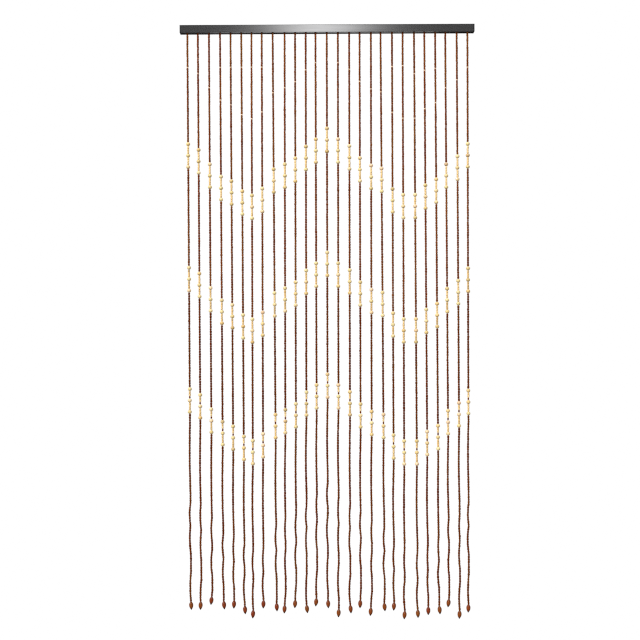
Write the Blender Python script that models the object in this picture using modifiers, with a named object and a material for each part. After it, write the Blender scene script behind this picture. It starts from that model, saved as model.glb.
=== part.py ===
"""Bead curtain with its header rail: a slim metal channel with 27 strands of threaded wooden beads.

Metres, +Z up. The origin is the middle of the rail's back face, which goes against the wall above a doorway.
The front faces -Y, and the strands hang straight down. Each strand has three groups of round pale beads, set so that
the groups make three zigzag bands across the curtain, and ends in a pointed drop. Below its last group a strand has
some slack in its thread, so it hangs in shallow bends.
"""

import math

import bmesh
import bpy

MM = 0.001
GAP = 0.3 * MM  # between pieces that touch

# Rail: a channel with two inward lips underneath, which leave a slot for the strands.
RAIL_WIDTH = 900 * MM  # with its end caps
RAIL_HEIGHT = 24 * MM
RAIL_DEPTH = 21 * MM
RAIL_WALL = 1.4 * MM
RAIL_CORNER = 1.2 * MM
CAP_THICK = 3.6 * MM
CAP_PLUG = 7 * MM  # how far a cap's plug goes into the rail
CAP_RIM = 0.8 * MM

# Strands
STRAND_Y = -11.5 * MM  # near the middle of the slot
LIP = 3.2 * MM  # from the rail's front or back face to the slot
PITCH = 33 * MM
BEAD_R = 3.2 * MM  # small brown beads
ROUND_R = 6.1 * MM  # round pale beads
ROUND_PITCH = 35 * MM  # between the centres of a group's three round beads
GROUP_BEADS = 3
GROUP_STEPS = (0, 379.5 * MM, 752 * MM)  # from the first group's top down to each group's top
STEP_GROWTH = 0.0037  # the steps are this share longer on the last strand, and shorter on the first
STRIP_THICK = 2.6 * MM
STRIP_DEPTH = 17.6 * MM

# Drops
DROP_LENGTH = 26 * MM

# One row a strand, left to right as seen from the front, in millimetres, and the tilt in degrees.
# set:   how far its top hangs from its place in the even spacing, to the right
# lean:  how far its lower end is to the right of its top
# first: from the rail's underside to the top of its first group of round beads
# tip:   from the rail's underside to the point of its drop
# tilt:  how far its drop's point swings to the right of plumb
STRAND_COLUMNS = ("set", "lean", "first", "tip", "tilt")
STRAND_ROWS = (
    (1.5, 4.0, 332, 1763, 3),
    (0.5, 3.5, 350, 1763, -2),
    (1.5, 3.0, 394, 1748, -6),
    (2.5, 3.5, 432, 1762, 5),
    (1.5, 3.5, 446, 1760, -3),
    (1.5, 3.0, 477, 1777, 3),
    (-0.5, -2.0, 490, 1790, -4),
    (-2.0, -2.0, 469, 1760, -3),
    (-1.5, 5.0, 410, 1769, 3),
    (2.0, -4.5, 395, 1775, -4),
    (1.0, -4.0, 377, 1759, -4),
    (0.5, -4.5, 341, 1775, 6),
    (-2.5, -2.5, 319, 1754, -6),
    (-1.0, -4.0, 286, 1760, 2),
    (0.0, -5.0, 319, 1788, -3),
    (1.5, -4.0, 340, 1776, 5),
    (0.5, -3.5, 377, 1760, -3),
    (2.0, -4.5, 400, 1784, -5),
    (-1.5, 5.5, 409, 1770, 5),
    (0.5, -1.0, 472, 1768, -4),
    (0.0, -1.0, 490, 1795, -5),
    (2.0, 4.0, 490, 1791, 2),
    (0.5, 4.5, 461, 1782, -1),
    (0.5, 5.0, 443, 1780, 5),
    (-1.5, 5.0, 397, 1759, -7),
    (0.5, 3.0, 373, 1794, -3),
    (0.5, -3.5, 335, 1775, -3),
)
STRANDS = [
    {
        name: math.radians(value) if name == "tilt" else value * MM
        for name, value in zip(STRAND_COLUMNS, row)
    }
    for row in STRAND_ROWS
]

# The bends of the slack thread below the third group, in millimetres.
# start: from that group's lower end; run: the bend's length; side: its swing to the left; back: its swing to the rear
BEND_COLUMNS = ("start", "run", "side", "back")
BEND_ROWS = (
    (18, 225, 1.7, 0.8),
    (262, 72, 2.3, -1.2),
    (345, 85, 2.7, 1.1),
    (480, 102, 2.8, -1.0),
)
BENDS = [{name: value * MM for name, value in zip(BEND_COLUMNS, row)} for row in BEND_ROWS]


def group_height():
    return (GROUP_BEADS - 1) * ROUND_PITCH + 2 * ROUND_R


def group_top(number, group):
    """From the rail's underside down to the top of one of the strand's groups."""
    middle = (len(STRANDS) - 1) / 2
    growth = 1 + STEP_GROWTH * (number - middle) / middle
    return STRANDS[number]["first"] + GROUP_STEPS[group] * growth


def slack_top(number):
    """From the rail's underside down to the last group's lower end, where the strand's slack starts."""
    return group_top(number, len(GROUP_STEPS) - 1) + group_height()


def bends_of(number):
    """The bends of one strand. No two strands are quite alike, so each bend starts and swings a little differently."""
    made = []
    for place, bend in enumerate(BENDS):
        shift = 9 * MM * math.sin(1.7 * number + 2.1 * place)
        swing = 1 + 0.22 * math.sin(2.4 * number + 1.3 * place)
        made.append(
            {
                "start": bend["start"] + shift,
                "run": bend["run"] * (1 + 0.08 * math.sin(0.9 * number + place)),
                "side": bend["side"] * swing,
                "back": bend["back"] * swing,
            }
        )
    return made


def centre_of(number, down):
    """The middle of strand number (0 to 26), down metres below the rail's underside."""
    strand = STRANDS[number]
    x = (number - (len(STRANDS) - 1) / 2) * PITCH + strand["set"]
    x += strand["lean"] * down / strand["tip"]
    y = STRAND_Y
    below = down - slack_top(number)
    for bend in bends_of(number):
        along = (below - bend["start"]) / bend["run"]
        if 0 < along < 1:
            x -= bend["side"] * math.sin(math.pi * along)
            y += bend["back"] * math.sin(math.pi * along)
    return x, y, -RAIL_HEIGHT / 2 - down


def rings_of(number):
    """(distance below the rail's underside, radius) at each ring of a strand's outer form, top to bottom."""
    strand = STRANDS[number]
    rings = [(strip_middle(), BEAD_R)]
    for group in range(len(GROUP_STEPS)):
        for bead in range(GROUP_BEADS):
            middle = group_top(number, group) + ROUND_R + bead * ROUND_PITCH
            rings += [
                (middle - 0.85 * ROUND_R, BEAD_R),
                (middle, ROUND_R),
                (middle + 0.85 * ROUND_R, BEAD_R),
            ]
    slack = slack_top(number)
    end = strand["tip"] - DROP_LENGTH - GAP
    for bend in bends_of(number):
        for share in (0.5, 1):
            down = slack + bend["start"] + share * bend["run"]
            # a bend's end that is close above the next bend's middle adds nothing to the form
            if down < end - 8 * MM and down - rings[-1][0] > 25 * MM:
                rings.append((down, BEAD_R))
    rings.append((end, BEAD_R))
    return rings


def strip_middle():
    """Where the middle of the carrier strip is, as a distance below the rail's underside: negative, inside the rail."""
    return -(RAIL_WALL + GAP + STRIP_THICK / 2)


def material(name, colour, roughness, metallic=0.0):
    made = bpy.data.materials.new(name)
    made.use_nodes = True
    shader = made.node_tree.nodes["Principled BSDF"]
    shader.inputs["Base Color"].default_value = (*colour, 1)
    shader.inputs["Roughness"].default_value = roughness
    shader.inputs["Metallic"].default_value = metallic
    made.diffuse_color = (*colour, 1)
    return made


def object_from(name, mesh, collection, finish):
    made = bpy.data.objects.new(name, mesh)
    collection.objects.link(made)
    if finish:
        made.data.materials.append(finish)
    return made


def rail_outline():
    """The channel's cross-section as (y, z) points in order round it, from the slot's front lip."""
    front, back = -RAIL_DEPTH, 0.0
    top, bottom = RAIL_HEIGHT / 2, -RAIL_HEIGHT / 2
    lip_front, lip_back = -RAIL_DEPTH + LIP, -LIP
    c, w = RAIL_CORNER, RAIL_WALL
    outside = [
        (lip_front, bottom),
        (front + c, bottom),
        (front + 0.3 * c, bottom + 0.3 * c),
        (front, bottom + c),
        (front, top - c),
        (front + 0.3 * c, top - 0.3 * c),
        (front + c, top),
        (back - c / 2, top),
        (back, top - c / 2),
        (back, bottom + c / 2),
        (back - c / 2, bottom),
        (lip_back, bottom),
    ]
    inside = [
        (lip_back, bottom + w),
        (back - w, bottom + w),
        (back - w, top - w),
        (front + w, top - w),
        (front + w, bottom + w),
        (lip_front, bottom + w),
    ]
    return outside + inside


def flat_outline(name, points, half, collection, finish):
    """A flat outline in the YZ plane as a filled 2D curve, drawn out to half on each side of x = 0."""
    curve = bpy.data.curves.new(name, "CURVE")
    curve.dimensions = "2D"
    curve.fill_mode = "BOTH"
    curve.extrude = half  # to each side
    spline = curve.splines.new("POLY")
    spline.points.add(len(points) - 1)
    for point, (y, z) in zip(spline.points, points):
        point.co = (y, z, 0, 1)
    spline.use_cyclic_u = True
    made = object_from(name, curve, collection, finish)
    # the curve's own X, Y and Z become the row's Y, Z and X
    made.rotation_euler = (math.pi / 2, 0, math.pi / 2)
    return made


def end_cap(name, side, collection, finish):
    """A thin plate with softened edges over the rail's end, and a plug that goes into it, as one solid."""
    mesh = bpy.data.meshes.new(name)
    shape = bmesh.new()
    inner = RAIL_WALL + GAP
    plate = bmesh.ops.create_cube(shape, size=1)["verts"]
    bmesh.ops.scale(shape, vec=(CAP_THICK, RAIL_DEPTH, RAIL_HEIGHT), verts=plate)
    shape.normal_update()
    outward = [f for f in shape.faces if f.normal.x * side > 0.9][0]
    inward = [f for f in shape.faces if f.normal.x * side < -0.9][0]
    # the plate's outward face is raised inside a narrow sloping rim, so its edge reads as softened
    rim = list(outward.verts)
    bmesh.ops.inset_region(
        shape, faces=[outward], thickness=CAP_RIM, use_even_offset=True
    )
    for vert in rim:
        vert.co.x = side * (CAP_THICK / 2 - CAP_RIM)
    # the plug grows out of the inward face
    bmesh.ops.inset_region(
        shape, faces=[inward], thickness=inner, use_even_offset=True
    )
    plug = bmesh.ops.extrude_discrete_faces(shape, faces=[inward])["faces"][0]
    bmesh.ops.translate(shape, vec=(-side * CAP_PLUG, 0, 0), verts=list(plug.verts))
    bmesh.ops.remove_doubles(shape, verts=shape.verts, dist=1e-6)
    bmesh.ops.recalc_face_normals(shape, faces=shape.faces)
    shape.to_mesh(mesh)
    shape.free()
    made = object_from(name, mesh, collection, finish)
    made.location = (side * (RAIL_WIDTH - CAP_THICK) / 2, -RAIL_DEPTH / 2, 0)
    return made


def section_curve(collection):
    """The five-sided section that a strand's outer form is swept with, one unit in radius. A guide, not a piece."""
    curve = bpy.data.curves.new("strand_section", "CURVE")
    curve.dimensions = "2D"
    spline = curve.splines.new("POLY")
    spline.points.add(4)
    for n, point in enumerate(spline.points):
        turn = 2 * math.pi * n / 5
        point.co = (math.cos(turn), math.sin(turn), 0, 1)
    spline.use_cyclic_u = True
    made = bpy.data.objects.new("strand_section", curve)
    made.hide_render = True
    made.display_type = "WIRE"
    collection.objects.link(made)
    return made


def strand_mesh(number, section, collection):
    """One strand's outer form, swept along its centre line with a radius for each ring, as a closed mesh object."""
    rings = rings_of(number)
    curve = bpy.data.curves.new(f"strand_{number + 1:02d}", "CURVE")
    curve.dimensions = "3D"
    curve.bevel_mode = "OBJECT"
    curve.bevel_object = section
    curve.use_fill_caps = True
    spline = curve.splines.new("POLY")
    spline.points.add(len(rings) - 1)
    for point, (down, radius) in zip(spline.points, rings):
        point.co = (*centre_of(number, down), 1)
        point.radius = radius
    swept = bpy.data.objects.new(curve.name, curve)
    collection.objects.link(swept)
    bpy.context.view_layer.update()
    graph = bpy.context.evaluated_depsgraph_get()
    mesh = bpy.data.meshes.new_from_object(swept.evaluated_get(graph))
    place = swept.matrix_world.copy()
    bpy.data.objects.remove(swept)
    shape = bmesh.new()
    shape.from_mesh(mesh)
    bmesh.ops.remove_doubles(shape, verts=shape.verts, dist=1e-6)
    bmesh.ops.recalc_face_normals(shape, faces=shape.faces)
    shape.to_mesh(mesh)
    shape.free()
    made = bpy.data.objects.new(f"tooth_{number + 1:02d}", mesh)
    made.matrix_world = place
    made.hide_render = True
    made.display_type = "WIRE"
    collection.objects.link(made)
    return made


def strand_comb(collection, teeth_collection, cutters, finish):
    """The carrier strip with the 27 strands joined to it: one comb along its edge."""
    section = section_curve(cutters)
    for number in range(len(STRANDS)):
        strand_mesh(number, section, teeth_collection)
    mesh = bpy.data.meshes.new("strand_comb")
    shape = bmesh.new()
    bmesh.ops.create_cube(shape, size=1)
    length = RAIL_WIDTH - 2 * (CAP_THICK + CAP_PLUG + 1.5 * MM)
    bmesh.ops.scale(shape, vec=(length, STRIP_DEPTH, STRIP_THICK), verts=shape.verts)
    shape.to_mesh(mesh)
    shape.free()
    comb = object_from("strand_comb", mesh, collection, finish)
    comb.location = (
        0,
        -RAIL_DEPTH / 2,
        -RAIL_HEIGHT / 2 - strip_middle(),
    )
    join = comb.modifiers.new("strands", "BOOLEAN")
    join.operation = "UNION"
    join.operand_type = "COLLECTION"
    join.collection = teeth_collection
    join.solver = "EXACT"
    return comb


def drop_mesh():
    """A pointed drop, turned: a short neck, a belly in its upper half and a long point."""
    # (distance below its top, radius)
    profile = (
        (0.0, 0.0),
        (0.0, 1.9 * MM),
        (4.2 * MM, 3.3 * MM),
        (9.5 * MM, 6.0 * MM),
        (16.5 * MM, 5.1 * MM),
        (DROP_LENGTH, 0.0),
    )
    mesh = bpy.data.meshes.new("drop")
    shape = bmesh.new()
    verts = [shape.verts.new((radius, 0, -down)) for down, radius in profile]
    for upper, lower in zip(verts, verts[1:]):
        shape.edges.new((upper, lower))
    shape.to_mesh(mesh)
    shape.free()
    return mesh


def drops(collection, finish):
    mesh = drop_mesh()
    mesh.materials.append(finish)
    for number, strand in enumerate(STRANDS):
        made = bpy.data.objects.new(f"drop_{number + 1:02d}", mesh)
        collection.objects.link(made)
        made.location = centre_of(number, strand["tip"] - DROP_LENGTH)
        # each drop hangs a little off plumb, because its bore isn't quite central
        made.rotation_euler = (
            math.radians(1.5 * math.sin(1.9 * number)),
            -strand["tilt"],
            0,
        )
        turned = made.modifiers.new("turned", "SCREW")
        turned.angle = 2 * math.pi
        turned.steps = turned.render_steps = 6
        turned.use_merge_vertices = True
        turned.merge_threshold = 0.00005


def main():
    for old in list(bpy.data.objects):
        bpy.data.objects.remove(old, do_unlink=True)
    scene = bpy.context.scene
    curtain = bpy.data.collections.new("bead_curtain")
    helpers = bpy.data.collections.new("cutters")
    teeth = bpy.data.collections.new("teeth")
    scene.collection.children.link(curtain)
    scene.collection.children.link(helpers)
    helpers.children.link(teeth)
    helpers.hide_render = True

    metal = material("dark satin metal", (0.055, 0.056, 0.058), 0.32, 0.9)
    plastic = material("black plastic", (0.02, 0.02, 0.021), 0.45)
    brown = material("brown bead wood", (0.14, 0.055, 0.03), 0.5)
    chestnut = material("chestnut drop wood", (0.33, 0.08, 0.035), 0.4)

    flat_outline(
        "header_rail",
        rail_outline(),
        RAIL_WIDTH / 2 - CAP_THICK - GAP,
        curtain,
        metal,
    )
    end_cap("end_cap_left", -1, curtain, plastic)
    end_cap("end_cap_right", 1, curtain, plastic)
    strand_comb(curtain, teeth, helpers, brown)
    drops(curtain, chestnut)


main()
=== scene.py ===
"""Looks of the bead curtain with its header rail: every bead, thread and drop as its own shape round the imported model.

Metres, +Z up, in the model's frame. The rail's back face is at y = 0, the front faces -Y, and the strands hang down.
"""

import math

import bmesh
import bpy
import numpy as np
from mathutils import Matrix, Vector


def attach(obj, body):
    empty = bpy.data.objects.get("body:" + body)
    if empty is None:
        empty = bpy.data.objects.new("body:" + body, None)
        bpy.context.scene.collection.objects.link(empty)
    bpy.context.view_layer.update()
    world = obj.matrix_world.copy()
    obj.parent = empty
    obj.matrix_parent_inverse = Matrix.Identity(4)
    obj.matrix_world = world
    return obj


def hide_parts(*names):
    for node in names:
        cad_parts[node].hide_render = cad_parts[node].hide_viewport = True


MM = 0.001

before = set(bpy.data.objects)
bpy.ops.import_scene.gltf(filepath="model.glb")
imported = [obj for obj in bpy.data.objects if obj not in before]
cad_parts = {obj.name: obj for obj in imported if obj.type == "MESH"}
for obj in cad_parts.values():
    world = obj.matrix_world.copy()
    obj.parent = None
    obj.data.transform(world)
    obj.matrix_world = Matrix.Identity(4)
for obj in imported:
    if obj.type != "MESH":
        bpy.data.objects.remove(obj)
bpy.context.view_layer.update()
rng = np.random.default_rng(27)

# ---------------------------------------------------------------- sizes, as in the solids

GAP = 0.3 * MM
RAIL_WIDTH = 900 * MM
RAIL_HEIGHT = 24 * MM
RAIL_DEPTH = 21 * MM
RAIL_WALL = 1.4 * MM
RAIL_CORNER = 1.2 * MM
LIP = 3.2 * MM
CAP_THICK = 3.6 * MM
CAP_PLUG = 7 * MM
STRAND_Y = -11.5 * MM
PITCH = 33 * MM
BEAD_R = 3.2 * MM
ROUND_R = 6.1 * MM
ROUND_PITCH = 35 * MM
GROUP_BEADS = 3
GROUP_STEPS = (0, 379.5 * MM, 752 * MM)
STEP_GROWTH = 0.0037
STRIP_THICK = 2.6 * MM
STRIP_DEPTH = 17.6 * MM
DROP_LENGTH = 26 * MM

STRAND_COLUMNS = ("set", "lean", "first", "tip", "tilt")
STRAND_ROWS = (
    (1.5, 4.0, 332, 1763, 3),
    (0.5, 3.5, 350, 1763, -2),
    (1.5, 3.0, 394, 1748, -6),
    (2.5, 3.5, 432, 1762, 5),
    (1.5, 3.5, 446, 1760, -3),
    (1.5, 3.0, 477, 1777, 3),
    (-0.5, -2.0, 490, 1790, -4),
    (-2.0, -2.0, 469, 1760, -3),
    (-1.5, 5.0, 410, 1769, 3),
    (2.0, -4.5, 395, 1775, -4),
    (1.0, -4.0, 377, 1759, -4),
    (0.5, -4.5, 341, 1775, 6),
    (-2.5, -2.5, 319, 1754, -6),
    (-1.0, -4.0, 286, 1760, 2),
    (0.0, -5.0, 319, 1788, -3),
    (1.5, -4.0, 340, 1776, 5),
    (0.5, -3.5, 377, 1760, -3),
    (2.0, -4.5, 400, 1784, -5),
    (-1.5, 5.5, 409, 1770, 5),
    (0.5, -1.0, 472, 1768, -4),
    (0.0, -1.0, 490, 1795, -5),
    (2.0, 4.0, 490, 1791, 2),
    (0.5, 4.5, 461, 1782, -1),
    (0.5, 5.0, 443, 1780, 5),
    (-1.5, 5.0, 397, 1759, -7),
    (0.5, 3.0, 373, 1794, -3),
    (0.5, -3.5, 335, 1775, -3),
)
STRANDS = [
    {
        name: math.radians(value) if name == "tilt" else value * MM
        for name, value in zip(STRAND_COLUMNS, row)
    }
    for row in STRAND_ROWS
]
BEND_COLUMNS = ("start", "run", "side", "back")
BEND_ROWS = (
    (18, 225, 1.7, 0.8),
    (262, 72, 2.3, -1.2),
    (345, 85, 2.7, 1.1),
    (480, 102, 2.8, -1.0),
)
BENDS = [{k: v * MM for k, v in zip(BEND_COLUMNS, row)} for row in BEND_ROWS]

# ---------------------------------------------------------------- sizes of what only shows here

SMALL_PITCH = 7.65 * MM  # small beads and link beads, along the thread
UPPER_R = 3.12 * MM  # the small beads above the second group
LOWER_R = 3.27 * MM  # and those below it
SMALL_SIDES, ROUND_SIDES, DROP_SIDES = 8, 16, 24
THREAD_R = 0.6 * MM
HOLE_R = 0.8 * MM
SPACER = 3.8 * MM  # a pale spacer's height
SPACER_R = 2.9 * MM
SPACER_ABOVE = 228 * MM  # from the first group's top up to the spacer
SECOND_SPACER = {4: 104, 5: 104, 6: 104, 7: 104, 8: 104, 20: 104, 21: 101, 22: 126, 23: 116, 24: 110}
NO_SPACER = (14,)
# how light each of the three link beads is, 0 to 1, for a group's upper link and then its lower one
BROWN_LINK = -1  # this one bead is brown
LINK_TONES = (
    ((0.45, 0.4, 0.35), (0.5, 0.45, 0.25)),
    ((0.2, 0.3, 0.35), (0.15, 0.15, 0.15)),
    ((0.2, 0.4, BROWN_LINK), (0.25, 0.3, 0.2)),
)


def group_height():
    return (GROUP_BEADS - 1) * ROUND_PITCH + 2 * ROUND_R


def group_top(number, group):
    """From the rail's underside down to the top of one of the strand's groups."""
    middle = (len(STRANDS) - 1) / 2
    growth = 1 + STEP_GROWTH * (number - middle) / middle
    return STRANDS[number]["first"] + GROUP_STEPS[group] * growth


def slack_top(number):
    """From the rail's underside down to the last group's lower end, where the strand's slack starts."""
    return group_top(number, len(GROUP_STEPS) - 1) + group_height()


def bends_of(number):
    made = []
    for place, bend in enumerate(BENDS):
        shift = 9 * MM * math.sin(1.7 * number + 2.1 * place)
        swing = 1 + 0.22 * math.sin(2.4 * number + 1.3 * place)
        made.append(
            {
                "start": bend["start"] + shift,
                "run": bend["run"] * (1 + 0.08 * math.sin(0.9 * number + place)),
                "side": bend["side"] * swing,
                "back": bend["back"] * swing,
            }
        )
    return made


def centre_of(number, down):
    """The middle of strand number (0 to 26), down metres below the rail's underside."""
    strand = STRANDS[number]
    x = (number - (len(STRANDS) - 1) / 2) * PITCH + strand["set"]
    x += strand["lean"] * down / strand["tip"]
    y = STRAND_Y
    below = down - slack_top(number)
    for bend in bends_of(number):
        along = (below - bend["start"]) / bend["run"]
        if 0 < along < 1:
            # the swing eases in and out, so the thread has no corner at a bend's ends
            x -= bend["side"] * math.sin(math.pi * along)
            y += bend["back"] * math.sin(math.pi * along)
    return Vector((x, y, -RAIL_HEIGHT / 2 - down))


def direction_of(number, down):
    return (centre_of(number, down - MM) - centre_of(number, down + MM)).normalized()


# ---------------------------------------------------------------- camera, at the photo's distance and height

camera = bpy.data.objects.new("camera", bpy.data.cameras.new("camera"))
bpy.context.scene.collection.objects.link(camera)
camera.data.sensor_width = 36
camera.data.lens = 55.27
camera.data.clip_start = 0.05
camera.matrix_world = (
    Matrix.Translation((-0.0256, -3.018, -0.8899))
    @ Matrix.Rotation(math.radians(0.262), 4, "Y")
    @ Matrix.Rotation(math.radians(90), 4, "X")
)
bpy.context.scene.camera = camera

# ---------------------------------------------------------------- materials


class Tree:
    """Adds nodes to one material, so that each material reads as a few lines."""

    def __init__(self, name):
        self.material = bpy.data.materials.new(name)
        self.material.use_nodes = True
        self.nodes = self.material.node_tree.nodes
        self.links = self.material.node_tree.links
        self.shader = self.nodes["Principled BSDF"]

    def node(self, kind, inputs=None, **settings):
        made = self.nodes.new(kind)
        for key, value in settings.items():
            setattr(made, key, value)
        for key, value in (inputs or {}).items():
            if isinstance(value, bpy.types.NodeSocket):
                self.links.new(value, made.inputs[key])
            else:
                made.inputs[key].default_value = value
        return made

    def attribute(self, name, output="Fac"):
        return self.node("ShaderNodeAttribute", attribute_name=name).outputs[output]

    def stretched(self, vector, scale):
        mapping = self.node("ShaderNodeMapping", {"Vector": vector, "Scale": scale})
        return mapping.outputs["Vector"]

    def noise(self, vector, scale, detail=3.0, rough=0.55, distortion=0.0):
        made = self.node(
            "ShaderNodeTexNoise",
            {"Vector": vector, "Scale": scale, "Detail": detail, "Roughness": rough, "Distortion": distortion},
        )
        return made.outputs["Fac"]

    def ramp(self, factor, stops):
        made = self.node("ShaderNodeValToRGB", {"Fac": factor})
        table = made.color_ramp.elements
        while len(table) > len(stops):
            table.remove(table[-1])
        while len(table) < len(stops):
            table.new(1.0)
        for element, (place, colour) in zip(table, stops):
            element.position = place
            element.color = (*colour, 1) if len(colour) == 3 else colour
        return made.outputs["Color"]

    def mix(self, factor, a, b, blend="MIX"):
        made = self.node("ShaderNodeMix", data_type="RGBA", blend_type=blend)
        for place, value in ((0, factor), (6, a), (7, b)):
            if isinstance(value, bpy.types.NodeSocket):
                self.links.new(value, made.inputs[place])
            else:
                made.inputs[place].default_value = value if place == 0 else (*value, 1)
        return made.outputs[2]

    def span(self, value, low, high):
        """value, from 0 to 1, spread over low to high."""
        made = self.node(
            "ShaderNodeMapRange", {"Value": value, "To Min": low, "To Max": high}
        )
        return made.outputs["Result"]

    def bump(self, height, distance, strength=1.0):
        made = self.node(
            "ShaderNodeBump",
            {"Height": height, "Distance": distance, "Strength": strength},
        )
        self.links.new(made.outputs["Normal"], self.shader.inputs["Normal"])

    def set(self, name, value):
        if isinstance(value, bpy.types.NodeSocket):
            self.links.new(value, self.shader.inputs[name])
        else:
            self.shader.inputs[name].default_value = value


def srgb(r, g, b):
    """A colour given as it looks on a screen, 0 to 255, as the linear numbers that a shader takes."""
    return tuple(
        (c / 255) / 12.92 if c / 255 <= 0.04045 else ((c / 255 + 0.055) / 1.055) ** 2.4
        for c in (r, g, b)
    )


def brown_wood():
    """Stained barrel beads: from maroon to olive-brown bead to bead, with fine dark streaks along the hole."""
    t = Tree("brown_bead_wood")
    grain = t.attribute("grain", "Vector")
    # here the ramp is only the beads' own stain colour, bead to bead by tint
    stain_and_painted_shade = t.ramp(
        t.attribute("tint"),
        (
            (0.0, (0.25, 0.043, 0.0098)),
            (0.3, (0.251, 0.053, 0.0106)),
            (0.65, (0.244, 0.065, 0.012)),
            (1.0, (0.226, 0.075, 0.0142)),
        ),
    )
    shade = t.ramp(
        t.attribute("tone"), ((0.0, (0.56, 0.46, 0.4)), (0.5, (0.82, 0.89, 1.12)), (1.0, (1.22, 1.42, 1.9)))
    )
    colour = t.mix(1.0, stain_and_painted_shade, shade, "MULTIPLY")
    streak = t.noise(t.stretched(grain, (1, 1, 0.13)), 2300, 4, 0.6, 0.4)
    dark = t.ramp(streak, ((0.36, (0.5,) * 3), (0.6, (1.0,) * 3), (0.8, (1.16,) * 3)))
    colour = t.mix(0.75, colour, t.mix(1.0, colour, dark, "MULTIPLY"))
    t.set("Base Color", colour)
    t.set("Roughness", t.span(streak, 0.5, 0.36))
    t.set("Specular IOR Level", 0.06)
    t.set("Specular Tint", (1, 0.6, 0.4, 1))
    # the wood's fine nap glows warm along the beads' edges
    t.set("Sheen Weight", 0.5)
    t.set("Sheen Roughness", 0.3)
    t.set("Sheen Tint", (1, 0.34, 0.09, 1))
    t.bump(streak, 0.05 * MM, 0.5)
    return t.material


def pale_wood():
    """Bare pale wood with a little wax: cream, straw, peach or honey from bead to bead, and thin darker growth lines.

    Tints from 0.12 to 0.7 are the round beads', and those from 0.76 to 1 are the yellower links'.
    """
    t = Tree("pale_bead_wood")
    grain = t.attribute("grain", "Vector")
    wood = t.ramp(
        t.attribute("tint"),
        (
            (0.0, (0.6, 0.37, 0.27)),
            (0.12, (0.88, 0.64, 0.42)),
            (0.24, (0.89, 0.7, 0.39)),
            (0.44, (0.83, 0.69, 0.345)),
            (0.6, (0.8, 0.64, 0.3)),
            (0.7, (0.87, 0.62, 0.27)),
            (0.76, (0.91, 0.7, 0.36)),
            (1.0, (0.9, 0.63, 0.28)),
        ),
    )
    shade = t.ramp(
        t.attribute("tone"),
        ((0.0, (0.5, 0.43, 0.36)), (0.22, (0.87, 0.8, 0.69)), (0.42, (0.96, 0.94, 0.91)), (0.6, (1,) * 3), (1.0, (1.1,) * 3)),
    )
    colour = t.mix(1.0, wood, shade, "MULTIPLY")
    rings = t.node(
        "ShaderNodeTexWave",
        {"Vector": grain, "Scale": 210.0, "Distortion": 2.2, "Detail": 2.0, "Detail Scale": 1.4},
        wave_type="BANDS",
        bands_direction="X",
    ).outputs["Fac"]
    lines = t.ramp(rings, ((0.0, (0.86, 0.8, 0.7)), (0.35, (1, 1, 1)), (1.0, (1, 1, 1))))
    colour = t.mix(0.55, colour, t.mix(1.0, colour, lines, "MULTIPLY"))
    fibre = t.noise(t.stretched(grain, (1, 1, 0.1)), 3000, 3, 0.6)
    flecks = t.ramp(fibre, ((0.3, (0.8, 0.74, 0.64)), (0.46, (1, 1, 1)), (1.0, (1, 1, 1))))
    colour = t.mix(0.6, colour, t.mix(1.0, colour, flecks, "MULTIPLY"))
    t.set("Base Color", colour)
    t.set("Roughness", t.span(fibre, 0.56, 0.42))
    t.set("Specular IOR Level", 0.4)
    t.bump(fibre, 0.04 * MM, 0.5)
    return t.material


def drop_wood():
    """Varnished chestnut drops with streaks from neck to point, darker at the neck, which is painted shade against the
    light on its top, and much darker towards the point.
    """
    t = Tree("drop_wood")
    grain = t.attribute("grain", "Vector")
    wood = t.ramp(
        t.attribute("tint"),
        ((0.0, (0.252, 0.04, 0.01)), (0.5, (0.27, 0.057, 0.0107)), (1.0, (0.268, 0.075, 0.0125))),
    )
    streak = t.noise(t.stretched(grain, (1, 1, 0.1)), 900, 4, 0.6, 0.5)
    dark = t.ramp(streak, ((0.3, (0.5, 0.42, 0.36)), (0.55, (1, 1, 1)), (0.8, (1.2, 1.16, 1.1))))
    colour = t.mix(0.8, wood, t.mix(1.0, wood, dark, "MULTIPLY"))
    down = t.attribute("down")
    # painted shade: darker at the drop's neck, where the light falls on its top; and much darker towards the point
    stain_and_painted_shade = t.ramp(down, ((0.0, (0.6,) * 3), (0.25, (0.78,) * 3), (0.42, (1,) * 3), (0.7, (0.95,) * 3), (0.86, (0.22, 0.24, 0.27)), (1.0, (0.14, 0.16, 0.2))))
    colour = t.mix(1.0, colour, stain_and_painted_shade, "MULTIPLY")
    t.set("Base Color", colour)
    t.set("Roughness", t.span(streak, 0.42, 0.3))
    t.set("Specular IOR Level", 0.18)
    t.bump(streak, 0.06 * MM, 0.5)
    return t.material


def thread_cord():
    """Dark waxed cord, twisted."""
    t = Tree("thread")
    place = t.node("ShaderNodeTexCoord").outputs["Object"]
    twist = t.node(
        "ShaderNodeTexWave",
        {"Vector": place, "Scale": 420.0, "Distortion": 1.0},
        wave_type="BANDS",
        bands_direction="DIAGONAL",
    ).outputs["Fac"]
    t.set("Base Color", t.ramp(twist, ((0.0, srgb(52, 34, 26)), (1.0, srgb(104, 76, 58)))))
    t.set("Roughness", t.span(twist, 0.75, 0.6))
    t.bump(twist, 0.08 * MM, 0.7)
    return t.material


def rail_metal():
    """Dark grey drawn metal: fine lines along the rail, and a satin sheen."""
    t = Tree("rail_metal")
    place = t.node("ShaderNodeTexCoord").outputs["Object"]
    lines = t.noise(t.stretched(place, (0.012, 1, 1)), 900, 3, 0.6)
    broad = t.noise(t.stretched(place, (0.02, 1, 1)), 190, 2, 0.5)
    colour = t.ramp(lines, ((0.3, (0.125, 0.125, 0.126)), (0.7, (0.15, 0.15, 0.151))))
    colour = t.mix(0.5, colour, t.mix(1.0, colour, t.ramp(broad, ((0.3, (0.85,) * 3), (0.7, (1.1,) * 3))), "MULTIPLY"))
    t.set("Base Color", colour)
    t.set("Metallic", 1.0)
    t.set("Roughness", t.span(lines, 0.105, 0.12))
    t.bump(lines, 0.004 * MM, 0.15)
    return t.material


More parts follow.
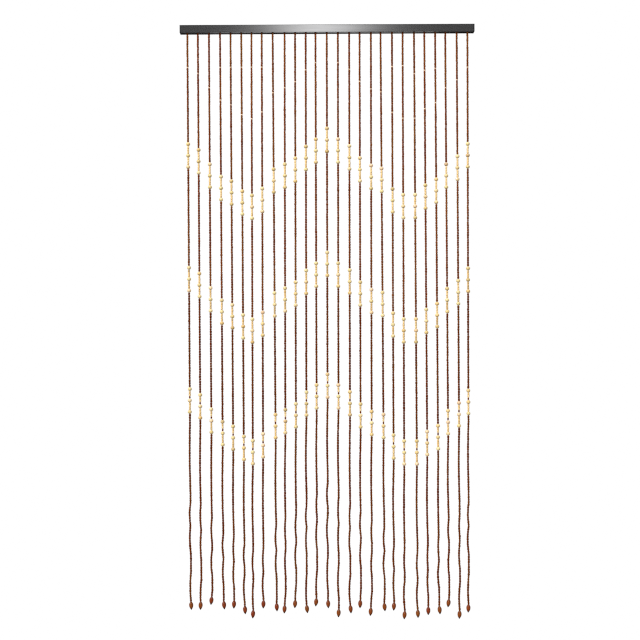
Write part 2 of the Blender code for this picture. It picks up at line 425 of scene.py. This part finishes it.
def rail_inside():
    """The channel's inside and the strip that fills its slot: near black, which is the strip's own black and, on the
    channel's inner walls, painted shade, and a little shiny along the rail.
    """
    t = Tree("rail_inside")
    place = t.node("ShaderNodeTexCoord").outputs["Object"]
    dust = t.noise(place, 900, 4, 0.6)
    # near black: painted shade on the channel's inner walls, and the carrier strip's own black
    t.set("Base Color", t.ramp(dust, ((0.3, (0.006, 0.006, 0.006)), (0.8, (0.013, 0.013, 0.014)))))
    t.set("Roughness", t.span(dust, 0.24, 0.34))
    t.set("Specular IOR Level", 0.3)
    t.bump(dust, 0.02 * MM, 0.4)
    return t.material


def cap_plastic():
    """Black moulded plastic with a fine grain."""
    t = Tree("cap_plastic")
    place = t.node("ShaderNodeTexCoord").outputs["Object"]
    grain = t.noise(place, 2600, 3, 0.6)
    t.set("Base Color", t.ramp(grain, ((0.3, (0.011, 0.011, 0.012)), (0.75, (0.019, 0.019, 0.02)))))
    t.set("Roughness", t.span(grain, 0.5, 0.62))
    t.set("Specular IOR Level", 0.3)
    t.bump(grain, 0.03 * MM, 0.5)
    return t.material


BROWN, PALE, CHESTNUT = brown_wood(), pale_wood(), drop_wood()
THREAD, METAL, INSIDE, PLASTIC = thread_cord(), rail_metal(), rail_inside(), cap_plastic()

# ---------------------------------------------------------------- beads


class Turned:
    """A turned shape: a closed profile of (height, radius) points, swept round the upright axis as quads."""

    def __init__(self, profile, sides):
        self.count, self.sides = len(profile), sides
        turns = 2 * math.pi * np.arange(sides) / sides
        rows = [
            np.stack([r * np.cos(turns), r * np.sin(turns), np.full(sides, h)], 1)
            for h, r in profile
        ]
        self.verts = np.concatenate(rows)
        self.heights = np.repeat([h for h, r in profile], sides)
        ring = np.arange(self.count)
        side = np.arange(sides)
        i, j = np.meshgrid(ring, side, indexing="ij")
        a = i * sides + j
        b = i * sides + (j + 1) % sides
        c = ((i + 1) % self.count) * sides + (j + 1) % sides
        d = ((i + 1) % self.count) * sides + j
        self.quads = np.stack([a, d, c, b], -1).reshape(-1, 4)
        # each quad's corners on a flat map, u round the axis and v along the profile
        lengths = [
            math.dist(profile[n], profile[(n + 1) % self.count])
            for n in range(self.count)
        ]
        # the bore can't be seen, so it gets little of the map
        lengths[-1] *= 0.15
        v = np.concatenate([[0], np.cumsum(lengths)]) / sum(lengths)
        u0, u1 = j / sides, (j + 1) / sides
        v0, v1 = v[i], v[i + 1]
        self.map = np.stack(
            [
                np.stack([u0, v0], -1),
                np.stack([u0, v1], -1),
                np.stack([u1, v1], -1),
                np.stack([u1, v0], -1),
            ],
            -2,
        ).reshape(-1, 4, 2)


def ball(radius, flat):
    """A round bead's profile, with a small flat at each end of its bore."""
    first = math.asin((HOLE_R + flat) / radius)
    steps = 9
    points = [(radius * math.cos(first), HOLE_R)]
    for n in range(steps + 1):
        angle = first + (math.pi - 2 * first) * n / steps
        points.append((radius * math.cos(angle), radius * math.sin(angle)))
    points.append((-radius * math.cos(first), HOLE_R))
    return points


def unit_barrel(shoulders):
    """A barrel bead one high and one in radius: its rim, its shoulders as (height, radius), then its middle."""
    upper = [(0.5, 0.27)] + [(0.5 * h, r) for h, r in shoulders]
    return Turned(upper + [(0.0, 1.0)] + [(-h, r) for h, r in upper[::-1]], SMALL_SIDES)


# the lower lot has well rounded barrels, the upper lot fuller ones, and the pale links nearly straight sides
UNIT_LOWER = unit_barrel(((0.98, 0.7), (0.76, 0.91), (0.4, 0.985)))
UNIT_UPPER = unit_barrel(((0.985, 0.8), (0.8, 0.94), (0.4, 0.99)))
UNIT_LINK = unit_barrel(((0.985, 0.88), (0.86, 0.97), (0.4, 0.995)))
UNIT_ROUND = Turned(
    [(h / ROUND_R, r / ROUND_R) for h, r in ball(ROUND_R, 0.55 * MM)], ROUND_SIDES
)


def turn_to(axis, spin, tip_x, tip_y):
    """A rotation that stands a bead on axis, turned by spin and tipped a little."""
    stand = Vector((0, 0, 1)).rotation_difference(axis).to_matrix()
    tipped = Matrix.Rotation(tip_x, 3, "X") @ Matrix.Rotation(tip_y, 3, "Y")
    return np.array(stand @ tipped @ Matrix.Rotation(spin, 3, "Z"))


def mesh_of(name, groups, finish):
    """One mesh from groups of [(turned shape, [bead, ...])]. A bead is a dict: at, turn, size, tone, tint, grain."""
    verts, quads, places = [], [], []
    tone, tint, grain, down = [], [], [], []
    total = sum(len(beads) for _, beads in groups)
    columns = math.ceil(math.sqrt(total))
    start = cell = 0
    for shape, beads in groups:
        for bead in beads:
            scaled = shape.verts * np.array(bead["size"])
            verts.append(scaled @ bead["turn"].T + np.array(bead["at"]))
            quads.append(shape.quads + start)
            corner = np.array([cell % columns, cell // columns]) / columns
            places.append(corner + (0.04 + 0.92 * shape.map) / columns)
            tone.append(np.full(len(scaled), bead["tone"]))
            tint.append(np.full(len(scaled), bead["tint"]))
            grain.append(scaled @ bead["grain"].T + bead["offset"])
            down.append(
                (shape.heights.max() - shape.heights) / np.ptp(shape.heights)
            )
            start += len(scaled)
            cell += 1
    verts, quads = np.concatenate(verts), np.concatenate(quads)
    mesh = bpy.data.meshes.new(name)
    mesh.vertices.add(len(verts))
    mesh.vertices.foreach_set("co", verts.astype(np.float32).ravel())
    mesh.loops.add(quads.size)
    mesh.loops.foreach_set("vertex_index", quads.astype(np.int32).ravel())
    mesh.polygons.add(len(quads))
    mesh.polygons.foreach_set("loop_start", np.arange(0, quads.size, 4, dtype=np.int32))
    mesh.update(calc_edges=True)
    mesh.polygons.foreach_set("use_smooth", np.ones(len(quads), bool))
    for label, values in (("tone", tone), ("tint", tint), ("down", down)):
        mesh.attributes.new(label, "FLOAT", "POINT").data.foreach_set(
            "value", np.concatenate(values).astype(np.float32)
        )
    mesh.attributes.new("grain", "FLOAT_VECTOR", "POINT").data.foreach_set(
        "vector", np.concatenate(grain).astype(np.float32).ravel()
    )
    mesh.uv_layers.new(name="OFBake").data.foreach_set(
        "uv", np.concatenate(places).astype(np.float32).ravel()
    )
    mesh.validate()
    mesh.materials.append(finish)
    made = bpy.data.objects.new(name, mesh)
    bpy.context.scene.collection.objects.link(made)
    return made


def any_grain():
    """A grain direction of its own for each bead, and a place in the wood of its own."""
    lie = turn_to(Vector((0, 0, 1)), rng.uniform(0, 6.28), rng.normal(0, 0.12), rng.normal(0, 0.12))
    return lie, rng.uniform(-1, 1, 3)


def small_bead(number, middle, height, radius, tone, tint):
    """A small barrel bead on the thread, never quite straight or central."""
    grain, offset = any_grain()
    axis = direction_of(number, middle)
    at = centre_of(number, middle) + Vector((rng.normal(0, 0.13), rng.normal(0, 0.13), 0)) * MM
    fat = radius * (1 + rng.normal(0, 0.045))
    return {
        "at": at,
        "turn": turn_to(axis, rng.uniform(0, 6.28), rng.normal(0, 0.05), rng.normal(0, 0.06)),
        "size": (fat, fat, height),
        "tone": tone,
        "tint": tint,
        "grain": grain,
        "offset": offset,
    }


def round_bead(number, middle, tone, tint):
    grain, offset = any_grain()
    lie = np.array(Matrix.Rotation(rng.uniform(0, 3.14), 3, "X")) @ grain
    fat = ROUND_R * (1 + rng.normal(0, 0.012))
    return {
        "at": centre_of(number, middle) + Vector((rng.normal(0, 0.15), rng.normal(0, 0.1), 0)) * MM,
        "turn": turn_to(direction_of(number, middle), rng.uniform(0, 6.28), rng.normal(0, 0.05), rng.normal(0, 0.05)),
        "size": (fat, fat, ROUND_R * 0.975),
        "tone": tone,
        "tint": tint,
        "grain": lie,
        "offset": offset,
    }


def row_of_small(number, top, bottom, radius, colour_of):
    """Small beads that fill the thread from top to bottom, each a little longer or shorter than the next."""
    count = max(1, round((bottom - top) / SMALL_PITCH))
    share = 1 + rng.normal(0, 0.045, count)
    edges = top + (bottom - top) * np.concatenate([[0], np.cumsum(share)]) / share.sum()
    made = []
    for upper, lower in zip(edges, edges[1:]):
        middle = (upper + lower) / 2
        tone, tint = colour_of(middle)
        made.append(
            small_bead(number, middle, (lower - upper) - 0.1 * MM, radius, tone, tint)
        )
    return made


def strand_beads(number):
    """(upper brown beads, lower brown beads, pale links, round beads) of one strand, from the rail to its drop.

    From the second group down, the small beads are of a darker lot.
    """
    strand = STRANDS[number]
    upper, lower, pale, rounds = [], [], [], []
    # the stain of one strand drifts slowly from maroon to olive and back
    own = rng.uniform(0.33, 0.67)
    waves = [(rng.uniform(12, 45), rng.uniform(0, 6.28), rng.uniform(0.06, 0.13)) for _ in range(3)]

    def brown_of(down):
        drift = sum(a * math.sin(f * down + p) for f, p, a in waves)
        lot = 0.5 if down < group_top(number, 1) else 0.08 if down < slack_top(number) + 60 * MM else 0.18
        tint = min(1, max(0, own + drift + rng.normal(0, 0.05)))
        tone = min(1, max(0, lot + 0.7 * drift + rng.normal(0, 0.1)))
        # the first bead under the rail is painted paler: painted light that cancels the rail's shadow on it
        return (1, tint) if down < 0.8 * SMALL_PITCH else (tone, tint)

    def pale_of(down):
        return min(1, max(0.15, rng.normal(0.44, 0.15))), rng.uniform(0.12, 0.7)

    def link_beads(group, place, top, bottom):
        """(pale, brown) link beads between two round beads. The pale ones are cut from one cane, nearly of one colour."""
        cane = rng.uniform(0.78, 0.98)
        lot = rng.normal(0, 0.045)
        tones = LINK_TONES[group][place]
        beads = row_of_small(number, top, bottom, BEAD_R * 0.96, lambda down: (0, cane))
        for bead, tone in zip(beads, tones):
            bead["tone"] = min(1, max(0, tone + lot + rng.normal(0, 0.025)))
            bead["tint"] = min(1, max(0.76, cane + rng.normal(0, 0.03)))
            if tone == BROWN_LINK:
                # it is a smaller bead than its neighbours
                bead["tone"], bead["tint"] = rng.uniform(0.3, 0.6), brown_of(top)[1]
                bead["size"] = (0.82 * BEAD_R, 0.82 * BEAD_R, 0.86 * bead["size"][2])
        light = [bead for bead, tone in zip(beads, tones) if tone != BROWN_LINK]
        dark = [bead for bead, tone in zip(beads, tones) if tone == BROWN_LINK]
        return light, dark

    top = -(RAIL_WALL + GAP) + 0.1 * MM
    spacers = []
    if number + 1 not in NO_SPACER:
        spacers.append(strand["first"] - SPACER_ABOVE)
    if number + 1 in SECOND_SPACER:
        spacers.append(SECOND_SPACER[number + 1] * MM)
    for down in sorted(spacers):
        upper += row_of_small(number, top, down - SPACER / 2, UPPER_R, brown_of)
        tone, tint = pale_of(down)
        pale.append(
            small_bead(number, down, SPACER - 0.1 * MM, SPACER_R, 0.55 * tone, 0.14 * tint)
        )
        top = down + SPACER / 2
    for group in range(len(GROUP_STEPS)):
        first = group_top(number, group)
        if group == 0:
            upper += row_of_small(number, top, first, UPPER_R, brown_of)
        else:
            lower += row_of_small(number, top, first, LOWER_R, brown_of)
        for bead in range(GROUP_BEADS):
            middle = first + ROUND_R + bead * ROUND_PITCH
            rounds.append(round_bead(number, middle, *pale_of(middle)))
            if bead < GROUP_BEADS - 1:
                light, dark = link_beads(group, bead, middle + ROUND_R, middle + ROUND_PITCH - ROUND_R)
                pale += light
                lower += dark
        top = first + group_height()
    lower += row_of_small(
        number, top, strand["tip"] - DROP_LENGTH - GAP, LOWER_R, brown_of
    )
    return upper, lower, pale, rounds


# ---------------------------------------------------------------- drops

# (distance below its top, radius) in millimetres, from the bottom of its bore up and then down its outside
DROP_PROFILE = (
    (8.0, 0.02),
    (7.9, 0.8),
    (0.25, 0.8),
    (0.0, 1.2),
    (0.05, 2.2),
    (0.8, 2.8),
    (2.4, 3.2),
    (3.8, 3.85),
    (5.2, 4.85),
    (6.8, 5.7),
    (8.6, 6.1),
    (10.6, 6.25),
    (12.8, 6.25),
    (15.0, 5.95),
    (17.2, 5.3),
    (19.4, 4.45),
    (21.4, 3.35),
    (23.2, 2.25),
    (24.8, 1.35),
    (25.7, 0.7),
    (26.0, 0.02),
)
UNIT_DROP = Turned([(-h * MM, r * MM) for h, r in DROP_PROFILE], DROP_SIDES)


def drop_piece(number):
    strand = STRANDS[number]
    grain, offset = any_grain()
    tilt = Matrix.Rotation(-strand["tilt"], 3, "Y") @ Matrix.Rotation(
        math.radians(1.5 * math.sin(1.9 * number)), 3, "X"
    )
    return {
        "at": centre_of(number, strand["tip"] - DROP_LENGTH),
        "turn": np.array(tilt),
        "size": (1, 1, 1),
        "tone": 0.5,
        "tint": rng.uniform(0, 1),
        "grain": grain,
        "offset": offset,
    }


# ---------------------------------------------------------------- strands


def thread_curve(number):
    """The thread from the carrier strip down into the drop's bore, with its length."""
    strand = STRANDS[number]
    end = strand["tip"] - DROP_LENGTH
    slack = slack_top(number)
    downs = [-(RAIL_WALL + GAP), 0] + list(np.linspace(slack, end, 36))
    points = [centre_of(number, down) for down in downs]
    points.append(points[-1] + (points[-1] - points[-2]).normalized() * 5 * MM)
    curve = bpy.data.curves.new(f"thread_{number + 1:02d}", "CURVE")
    curve.dimensions = "3D"
    curve.bevel_depth = THREAD_R
    curve.bevel_resolution = 1
    curve.use_fill_caps = True
    spline = curve.splines.new("POLY")
    spline.points.add(len(points) - 1)
    for point, place in zip(spline.points, points):
        point.co = (*place, 1)
    curve.materials.append(THREAD)
    made = bpy.data.objects.new(curve.name, curve)
    bpy.context.scene.collection.objects.link(made)
    length = sum((b - a).length for a, b in zip(points, points[1:]))
    return made, points[0], length


for number in range(len(STRANDS)):
    upper, lower, pale, rounds = strand_beads(number)
    label = f"{number + 1:02d}"
    small = mesh_of(f"brown_beads_{label}", [(UNIT_UPPER, upper), (UNIT_LOWER, lower)], BROWN)
    light = mesh_of(f"pale_beads_{label}", [(UNIT_ROUND, rounds), (UNIT_LINK, pale)], PALE)
    drop = mesh_of(f"pointed_drop_{label}", [(UNIT_DROP, [drop_piece(number)])], CHESTNUT)
    thread, leaves, length = thread_curve(number)
    for piece, slot in ((small, "brown_bead_wood"), (light, "pale_bead_wood"), (thread, "thread")):
        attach(piece, "root")
        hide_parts("strand_comb")
    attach(drop, "root")
    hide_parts(f"drop_{label}")

# ---------------------------------------------------------------- rail


def arc(centre, radius, start, end, steps=5):
    """Points of an arc in the YZ plane, angles in degrees."""
    return [
        (
            centre[0] + radius * math.cos(math.radians(start + (end - start) * n / steps)),
            centre[1] + radius * math.sin(math.radians(start + (end - start) * n / steps)),
        )
        for n in range(steps + 1)
    ]


def rail_piece():
    """The channel with rounded corners, drawn along the rail's length, and black inside, which is painted shade in the
    channel's recess.
    """
    front, back = -RAIL_DEPTH, 0.0
    top, bottom = RAIL_HEIGHT / 2, -RAIL_HEIGHT / 2
    c, b, w = RAIL_CORNER, 0.6 * MM, RAIL_WALL
    outside = (
        [(front + LIP, bottom)]
        + arc((front + c, bottom + c), c, 270, 180)
        + arc((front + c, top - c), c, 180, 90)
        + arc((back - b, top - b), b, 90, 0, 3)
        + arc((back - b, bottom + b), b, 0, -90, 3)
        + [(back - LIP, bottom)]
    )
    inside = [
        (back - LIP, bottom + w),
        (back - w, bottom + w),
        (back - w, top - w),
        (front + w, top - w),
        (front + w, bottom + w),
        (front + LIP, bottom + w),
    ]
    outline = outside + inside
    half = RAIL_WIDTH / 2 - CAP_THICK - GAP
    shape = bmesh.new()
    ends = [
        [shape.verts.new((x, y, z)) for y, z in outline] for x in (-half, half)
    ]
    count = len(outline)
    for n in range(count):
        m = (n + 1) % count
        face = shape.faces.new((ends[0][n], ends[0][m], ends[1][m], ends[1][n]))
        face.material_index = 1 if n >= len(outside) - 1 else 0
    for ring, flip in ((ends[0], False), (ends[1], True)):
        shape.faces.new(ring[::-1] if flip else ring)
    bmesh.ops.recalc_face_normals(shape, faces=shape.faces)
    mesh = bpy.data.meshes.new("rail")
    shape.to_mesh(mesh)
    shape.free()
    mesh.materials.append(METAL)
    mesh.materials.append(INSIDE)
    mesh.set_sharp_from_angle(angle=math.radians(35))
    # only the rounded corners are shaded round, so the flat sides shine evenly from edge to edge
    for face in mesh.polygons:
        heights = [mesh.vertices[v].co.z for v in face.vertices]
        depths = [mesh.vertices[v].co.y for v in face.vertices]
        face.use_smooth = bool(max(np.ptp(heights), np.ptp(depths)) < RAIL_CORNER)
    made = bpy.data.objects.new("rail", mesh)
    bpy.context.scene.collection.objects.link(made)
    return made


def cap_piece(name, side):
    """An end cap: a plate with rounded edges over the rail's end, and its plug inside."""
    inner = RAIL_WALL + GAP
    shape = bmesh.new()
    plate = bmesh.ops.create_cube(shape, size=1)["verts"]
    bmesh.ops.scale(shape, vec=(CAP_THICK, RAIL_DEPTH, RAIL_HEIGHT), verts=plate)
    shape.normal_update()
    rounded = [
        e
        for e in shape.edges
        if any(f.normal.x * side > 0.9 for f in e.link_faces)
        or (abs(e.verts[0].co.y - e.verts[1].co.y) < 1e-9 and e.verts[0].co.y < 0 and abs(e.verts[0].co.z - e.verts[1].co.z) < 1e-9)
    ]
    inward = [f for f in shape.faces if f.normal.x * side < -0.9][0]
    bmesh.ops.inset_region(shape, faces=[inward], thickness=inner, use_even_offset=True)
    plug = bmesh.ops.extrude_discrete_faces(shape, faces=[inward])["faces"][0]
    bmesh.ops.translate(shape, vec=(-side * CAP_PLUG, 0, 0), verts=list(plug.verts))
    bmesh.ops.bevel(
        shape, geom=rounded, offset=0.9 * MM, segments=4, profile=0.5, affect="EDGES"
    )
    bmesh.ops.remove_doubles(shape, verts=shape.verts, dist=1e-7)
    bmesh.ops.recalc_face_normals(shape, faces=shape.faces)
    for face in shape.faces:
        face.smooth = True
    mesh = bpy.data.meshes.new(name)
    shape.to_mesh(mesh)
    shape.free()
    mesh.materials.append(PLASTIC)
    mesh.set_sharp_from_angle(angle=math.radians(40))
    made = bpy.data.objects.new(name, mesh)
    made.location = (side * (RAIL_WIDTH - CAP_THICK) / 2, -RAIL_DEPTH / 2, 0)
    bpy.context.scene.collection.objects.link(made)
    return made


def strip_piece():
    """The carrier strip that the threads are knotted on, lying on the rail's two lips."""
    length = RAIL_WIDTH - 2 * (CAP_THICK + CAP_PLUG + 1.5 * MM)
    shape = bmesh.new()
    bmesh.ops.create_cube(shape, size=1)
    bmesh.ops.scale(shape, vec=(length, STRIP_DEPTH, STRIP_THICK), verts=shape.verts)
    bmesh.ops.bevel(shape, geom=list(shape.edges), offset=0.4 * MM, segments=2, profile=0.5, affect="EDGES")
    mesh = bpy.data.meshes.new("carrier_strip")
    shape.to_mesh(mesh)
    shape.free()
    mesh.materials.append(INSIDE)
    made = bpy.data.objects.new("carrier_strip", mesh)
    made.location = (
        0,
        -RAIL_DEPTH / 2,
        -RAIL_HEIGHT / 2 + RAIL_WALL + GAP + STRIP_THICK / 2,
    )
    bpy.context.scene.collection.objects.link(made)
    return made


for piece, node, slot in (
    (rail_piece(), "header_rail", "rail_metal"),
    (cap_piece("cap_left", -1), "end_cap_left", "cap_plastic"),
    (cap_piece("cap_right", 1), "end_cap_right", "cap_plastic"),
    (strip_piece(), "strand_comb", "cap_plastic"),
):
    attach(piece, "root")
    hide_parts(node)

# ---------------------------------------------------------------- floor and light


def stage_white(name, grey):
    """White to look at, and pale grey in the light that it gives back."""
    material = bpy.data.materials.new(name)
    material.use_nodes = True
    nodes, links = material.node_tree.nodes, material.node_tree.links
    nodes.clear()
    out = nodes.new("ShaderNodeOutputMaterial")
    mix = nodes.new("ShaderNodeMixShader")
    ray = nodes.new("ShaderNodeLightPath")
    matt = nodes.new("ShaderNodeBsdfDiffuse")
    matt.inputs["Color"].default_value = (grey, grey, grey, 1)
    glow = nodes.new("ShaderNodeEmission")
    glow.inputs["Strength"].default_value = 1.0
    links.new(ray.outputs["Is Camera Ray"], mix.inputs[0])
    links.new(matt.outputs[0], mix.inputs[1])
    links.new(glow.outputs[0], mix.inputs[2])
    links.new(mix.outputs[0], out.inputs["Surface"])
    return material


floor_mesh = bpy.data.meshes.new("floor")
shape = bmesh.new()
bmesh.ops.create_grid(shape, x_segments=1, y_segments=1, size=6)
shape.to_mesh(floor_mesh)
shape.free()
floor_mesh.materials.append(stage_white("floor_white", 0.25))
floor = bpy.data.objects.new("floor", floor_mesh)
floor.location = (0, 0, -1.95)
bpy.context.scene.collection.objects.link(floor)

world = bpy.data.worlds.new("studio")
world.use_nodes = True
bpy.context.scene.world = world
nodes, links = world.node_tree.nodes, world.node_tree.links
nodes.clear()
out = nodes.new("ShaderNodeOutputWorld")
mix = nodes.new("ShaderNodeMixShader")
ray = nodes.new("ShaderNodeLightPath")
soft = nodes.new("ShaderNodeBackground")
soft.inputs["Color"].default_value = (1, 1, 1, 1)
# the room gives its light from the front, and is dim behind the curtain below the rail
way = nodes.new("ShaderNodeSeparateXYZ")
links.new(nodes.new("ShaderNodeTexCoord").outputs["Generated"], way.inputs[0])
dim = nodes.new("ShaderNodeMapRange")
for key, value in (("From Min", -0.15), ("From Max", 0.55), ("To Min", 0.36), ("To Max", 0.01)):
    dim.inputs[key].default_value = value
links.new(way.outputs["Y"], dim.inputs["Value"])


def sums(operation, a, b=None):
    made = nodes.new("ShaderNodeMath")
    made.operation = operation
    for place, value in enumerate((a, b)):
        if isinstance(value, bpy.types.NodeSocket):
            links.new(value, made.inputs[place])
        elif value is not None:
            made.inputs[place].default_value = value
    return made.outputs[0]


# a tall soft strip of light in front of the curtain and above it, which shows as the sheen on the rail's face
SHEEN_X, SHEEN_WIDE, SHEEN_Z, SHEEN_TALL, SHEEN = 0.001, 0.0394, 0.29, 0.22, 5.5
across = sums("DIVIDE", sums("SUBTRACT", way.outputs["X"], SHEEN_X), SHEEN_WIDE)
upward = sums("DIVIDE", sums("SUBTRACT", way.outputs["Z"], SHEEN_Z), SHEEN_TALL)
away = sums("ADD", sums("MULTIPLY", across, across), sums("MULTIPLY", upward, upward))
strip = sums("MULTIPLY", sums("EXPONENT", sums("MULTIPLY", away, -1.0)), SHEEN)
ahead = sums("LESS_THAN", way.outputs["Y"], 0.0)
glow = sums("MULTIPLY", strip, ahead)

def part_of(value, low, high):
    """0 up to low, 1 from high on."""
    made = nodes.new("ShaderNodeMapRange")
    links.new(value, made.inputs["Value"])
    made.inputs["From Min"].default_value = low
    made.inputs["From Max"].default_value = high
    return made.outputs["Result"]


# the room behind is brighter from eye height up, so that the rail's back and top show
behind = sums("MULTIPLY", part_of(way.outputs["Y"], 0.1, 0.6), part_of(way.outputs["Z"], -0.05, 0.2))
rear = sums("MULTIPLY", behind, 0.35)
both = sums("ADD", glow, rear)
links.new(sums("ADD", dim.outputs["Result"], both), soft.inputs["Strength"])
seen = nodes.new("ShaderNodeBackground")
seen.inputs["Color"].default_value = (1, 1, 1, 1)
seen.inputs["Strength"].default_value = 1.0
links.new(ray.outputs["Is Camera Ray"], mix.inputs[0])
links.new(soft.outputs[0], mix.inputs[1])
links.new(seen.outputs[0], mix.inputs[2])
links.new(mix.outputs[0], out.inputs["Surface"])


def area_light(name, place, aim, size, watts, height=None):
    light = bpy.data.lights.new(name, "AREA")
    light.shape = "RECTANGLE"
    light.size = size
    light.size_y = height or size
    light.energy = watts
    made = bpy.data.objects.new(name, light)
    made.location = place
    made.rotation_euler = (Vector(aim) - Vector(place)).to_track_quat("-Z", "Y").to_euler()
    made.visible_camera = False
    bpy.context.scene.collection.objects.link(made)
    return made


# the main light is high on the left; a nearer one beside it makes the upper half a little brighter than the drops
key = bpy.data.lights.new("key", "SUN")
key.energy = 2.85
key.angle = math.radians(16)
key_object = bpy.data.objects.new("key", key)
key_object.rotation_euler = Vector((-0.53, -0.63, 0.57)).to_track_quat("Z", "Y").to_euler()
bpy.context.scene.collection.objects.link(key_object)
area_light("high_left", (-1.1, -1.7, 1.5), (0, 0, -0.6), 0.9, 20).visible_glossy = False
# a weak, wide one on the right keeps the beads' shaded sides warm, and one behind lights the backs
for name, toward, energy, spread in (
    ("fill", (0.9, -0.4, 0.15), 0.7, 50),
    ("rear", (0.1, 0.96, 0.25), 2.2, 20),
):
    sun = bpy.data.lights.new(name, "SUN")
    sun.energy = energy
    sun.angle = math.radians(spread)
    sun_object = bpy.data.objects.new(name, sun)
    sun_object.rotation_euler = Vector(toward).to_track_quat("Z", "Y").to_euler()
    sun_object.visible_glossy = False
    bpy.context.scene.collection.objects.link(sun_object)
# a low card behind the curtain, which shows as the sheen along the middle of the rail's underside
area_light("low_back", (0.0, 2.2, -0.66), (0, 0, 0), 1.2, 2.0, 0.35)

view = bpy.context.scene.view_settings
view.view_transform = "Standard"
view.look = "None"
view.exposure = 0.0
view.gamma = 1.0
bpy.context.scene.cycles.use_denoising = False
bpy.context.scene.cycles.filter_width = 1.2  # beads are two pixels across, so the film is crisp
